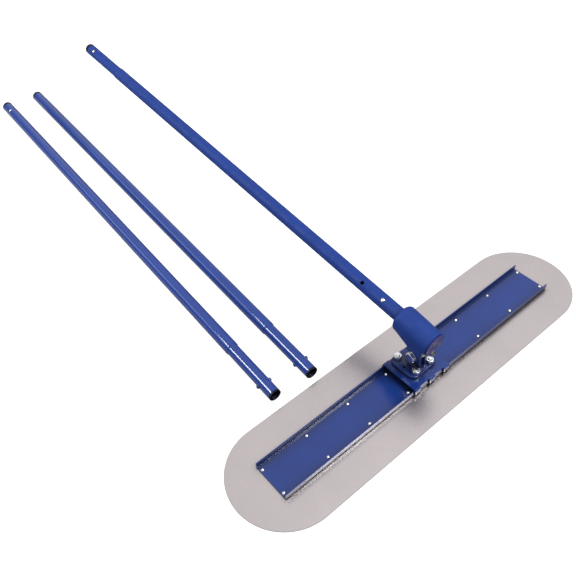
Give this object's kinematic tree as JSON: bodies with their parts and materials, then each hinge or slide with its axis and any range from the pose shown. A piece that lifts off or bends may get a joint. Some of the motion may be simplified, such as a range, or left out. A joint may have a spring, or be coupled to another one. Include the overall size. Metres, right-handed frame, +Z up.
{
  "type": "bull float",
  "caption": "Round-ended steel bull float with a riveted channel, worm-gear tilt head, fitted handle pole and loose extension poles with snap buttons.",
  "frame": {"origin": "centre of the blade's flat working face (its underside)", "axes": "+X along the blade, +Y from the blade towards the user's end of the handle, +Z up out of the blade's back"},
  "size_m": [0.8128, 1.4745, 0.234],
  "materials": {
    "blade_steel": "satin rolled carbon steel, light oil film",
    "blue_paint": "semi-gloss blue enamel on steel",
    "cap_paint": "dull grey-blue enamel",
    "pole_paint": "semi-gloss blue powder coat on steel tube",
    "zinc": "bright zinc plate",
    "machined_steel": "machined, lightly greased",
    "spring_steel": "tempered strip",
    "button_metal": "nickel plate",
    "bronze": "sintered bearing bronze"
  },
  "bodies": {
    "float": {"blade": "blade_steel", "channel": "blue_paint", "blade_rivets": "zinc", "saddle_plate": "blue_paint", "knuckle_base": "blue_paint", "base_bolts": "zinc", "base_washers": "zinc", "base_nuts": "zinc", "gear_sector": "machined_steel", "sector_dowels": "machined_steel", "pivot_bolt": "zinc", "pivot_washers": "zinc", "pivot_nut": "zinc"},
    "housing": {"gear_housing": "blue_paint", "housing_cap": "cap_paint", "front_bush": "bronze", "rear_bush": "bronze"},
    "handle": {"worm": "machined_steel", "worm_shaft": "machined_steel", "worm_pin": "machined_steel", "thrust_washers": "bronze", "spigot": "zinc", "spigot_pin": "machined_steel", "spigot_spring": "spring_steel", "first_pole": "pole_paint", "first_pole_spring": "spring_steel"},
    "spigot_button_upper": {"spigot_button_upper": "button_metal"},
    "spigot_button_lower": {"spigot_button_lower": "button_metal"},
    "first_pole_button_upper": {"first_pole_button_upper": "pole_paint"},
    "first_pole_button_lower": {"first_pole_button_lower": "pole_paint"},
    "second_pole": {"second_pole": "pole_paint", "second_pole_spring": "spring_steel"},
    "second_pole_button_left": {"second_pole_button_left": "pole_paint"},
    "second_pole_button_right": {"second_pole_button_right": "pole_paint"},
    "third_pole": {"third_pole": "pole_paint", "third_pole_spring": "spring_steel"},
    "third_pole_button_left": {"third_pole_button_left": "pole_paint"},
    "third_pole_button_right": {"third_pole_button_right": "pole_paint"}
  },
  "joints": [
    {"name": "twist", "type": "hinge", "parent": "housing", "child": "handle", "pos_m": [0, -0.00538, 0.10251], "axis": [0, -0.9942, -0.1077], "range_deg": [-254, 1795]},
    {"name": "tilt", "type": "hinge", "parent": "float", "child": "housing", "pos_m": [0, 0, 0.0528], "axis": [1, 0, 0], "range_deg": [-6.2, 43.8]},
    {"name": "spigot_button_upper_press", "type": "slide", "parent": "handle", "child": "spigot_button_upper", "axis": [0.5446, 0.0903, -0.8338], "range_m": [0, 0.0037], "stiffness_N_per_m": 1500, "springref_m": -0.002, "deforming": ["spigot_spring"]},
    {"name": "spigot_button_lower_press", "type": "slide", "parent": "handle", "child": "spigot_button_lower", "axis": [-0.5446, -0.0903, 0.8338], "range_m": [0, 0.0037], "stiffness_N_per_m": 1500, "springref_m": -0.002, "deforming": ["spigot_spring"]},
    {"name": "first_pole_button_upper_press", "type": "slide", "parent": "handle", "child": "first_pole_button_upper", "axis": [0.5446, 0.0903, -0.8338], "range_m": [0, 0.0037], "stiffness_N_per_m": 1500, "springref_m": -0.002, "deforming": ["first_pole_spring"]},
    {"name": "first_pole_button_lower_press", "type": "slide", "parent": "handle", "child": "first_pole_button_lower", "axis": [-0.5446, -0.0903, 0.8338], "range_m": [0, 0.0037], "stiffness_N_per_m": 1500, "springref_m": -0.002, "deforming": ["first_pole_spring"]},
    {"name": "second_pole_lift", "type": "slide", "parent": "float", "child": "second_pole", "axis": [0, 0, 1], "range_m": [0, 0.3]},
    {"name": "second_pole_button_right_press", "type": "slide", "parent": "second_pole", "child": "second_pole_button_right", "axis": [-0.9989, 0.0466, 0], "range_m": [0, 0.0037], "stiffness_N_per_m": 1500, "springref_m": -0.002, "deforming": ["second_pole_spring"]},
    {"name": "second_pole_button_left_press", "type": "slide", "parent": "second_pole", "child": "second_pole_button_left", "axis": [0.9989, -0.0466, 0], "range_m": [0, 0.0037], "stiffness_N_per_m": 1500, "springref_m": -0.002, "deforming": ["second_pole_spring"]},
    {"name": "third_pole_lift", "type": "slide", "parent": "float", "child": "third_pole", "axis": [0, 0, 1], "range_m": [0, 0.3]},
    {"name": "third_pole_button_right_press", "type": "slide", "parent": "third_pole", "child": "third_pole_button_right", "axis": [-0.9986, 0.0529, 0], "range_m": [0, 0.0037], "stiffness_N_per_m": 1500, "springref_m": -0.002, "deforming": ["third_pole_spring"]},
    {"name": "third_pole_button_left_press", "type": "slide", "parent": "third_pole", "child": "third_pole_button_left", "axis": [0.9986, -0.0529, 0], "range_m": [0, 0.0037], "stiffness_N_per_m": 1500, "springref_m": -0.002, "deforming": ["third_pole_spring"]}
  ],
  "couplings": [
    {"joint": "tilt", "follows": "twist", "ratio": 0.02439}
  ]
}
